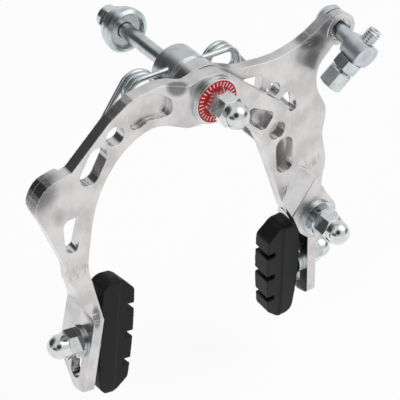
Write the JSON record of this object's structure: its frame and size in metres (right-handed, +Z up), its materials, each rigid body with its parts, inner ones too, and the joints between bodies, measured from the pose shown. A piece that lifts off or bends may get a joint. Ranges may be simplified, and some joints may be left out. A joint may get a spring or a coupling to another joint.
{
  "type": "caliper brake",
  "caption": "Long-reach side-pull caliper brake with two forged aluminium arms, a centre pivot bolt, return spring, barrel adjuster, cable anchor and rubber pads",
  "frame": {"origin": "On the centre bolt's axis, on the rear face of the spring block, which seats on the fork crown or frame bridge", "axes": "+Y along the centre bolt to the rear, +Z up, +X to the right as seen from the front"},
  "size_m": [0.1417, 0.0942, 0.1373],
  "materials": {
    "polished_aluminium": "polished forging with soft streaks",
    "zinc_plated_steel": "bright zinc plating",
    "bright_cap_nut": "bright plated",
    "dull_zinc": "blue-grey zinc plating",
    "spring_wire": "zinc-plated round wire",
    "red_disc": "red lacquer",
    "nylon": "moulded nylon",
    "pad_rubber": "moulded black rubber"
  },
  "bodies": {
    "frame": {"centre_bolt": "zinc_plated_steel", "front_cap_nut": "bright_cap_nut", "front_lock_nut": "zinc_plated_steel", "dial_disc": "red_disc", "front_washer": "zinc_plated_steel", "middle_washer": "zinc_plated_steel", "rear_arm_washer": "zinc_plated_steel", "spring_block": "dull_zinc", "return_spring": "spring_wire", "radius_washer": "zinc_plated_steel", "rear_washer_inner": "zinc_plated_steel", "rear_washer_outer": "zinc_plated_steel", "rear_lock_nut": "zinc_plated_steel", "rear_lock_nut_insert": "nylon"},
    "front_arm": {"c_arm": "polished_aluminium", "anchor_bolt": "zinc_plated_steel", "anchor_washer": "zinc_plated_steel", "anchor_clamp_washer": "zinc_plated_steel", "anchor_cap_nut": "bright_cap_nut"},
    "rear_arm": {"y_arm": "polished_aluminium"},
    "eye_trunnion": {"eye_pin": "dull_zinc", "adjuster_lock_nut": "zinc_plated_steel"},
    "adjuster": {"barrel_adjuster": "zinc_plated_steel"},
    "left_fixing": {"left_pad_spacer": "zinc_plated_steel", "left_pad_washer": "zinc_plated_steel", "left_pad_cap_nut": "bright_cap_nut"},
    "left_shoe": {"left_pad_block": "pad_rubber", "left_pad_stud": "zinc_plated_steel"},
    "right_fixing": {"right_pad_spacer": "zinc_plated_steel", "right_pad_washer": "zinc_plated_steel", "right_pad_cap_nut": "bright_cap_nut"},
    "right_shoe": {"right_pad_block": "pad_rubber", "right_pad_stud": "zinc_plated_steel"}
  },
  "joints": [
    {"name": "front_arm_pivot", "type": "hinge", "parent": "frame", "child": "front_arm", "pos_m": [0, -0.025, 0], "axis": [0, -1, 0], "range_deg": [0, 12], "stiffness_Nm_per_rad": 6, "deforming": ["return_spring"]},
    {"name": "rear_arm_pivot", "type": "hinge", "parent": "frame", "child": "rear_arm", "pos_m": [0, -0.018, 0], "axis": [0, 1, 0], "range_deg": [0, 11], "stiffness_Nm_per_rad": 6},
    {"name": "eye_pin_turn", "type": "hinge", "parent": "rear_arm", "child": "eye_trunnion", "pos_m": [0.063, -0.01775, 0.004], "axis": [0, -0.9613, -0.2756], "continuous": true},
    {"name": "adjuster_travel", "type": "slide", "parent": "eye_trunnion", "child": "adjuster", "axis": [-0.5878, 0.223, -0.7777], "range_m": [0, 0.0025]},
    {"name": "left_pad_height", "type": "slide", "parent": "front_arm", "child": "left_fixing", "axis": [-0.1822, 0, -0.9833], "range_m": [-0.0028, 0.013]},
    {"name": "left_pad_turn", "type": "hinge", "parent": "left_fixing", "child": "left_shoe", "pos_m": [-0.05408, -0.0175, -0.09398], "axis": [-0.9833, 0, 0.1822], "range_deg": [0, 90]},
    {"name": "right_pad_height", "type": "slide", "parent": "rear_arm", "child": "right_fixing", "axis": [0.0436, 0, -0.999], "range_m": [-0.0083, 0.0076]},
    {"name": "right_pad_turn", "type": "hinge", "parent": "right_fixing", "child": "right_shoe", "pos_m": [0.05268, -0.0175, -0.09999], "axis": [-0.999, 0, -0.0436], "range_deg": [0, 90]}
  ]
}
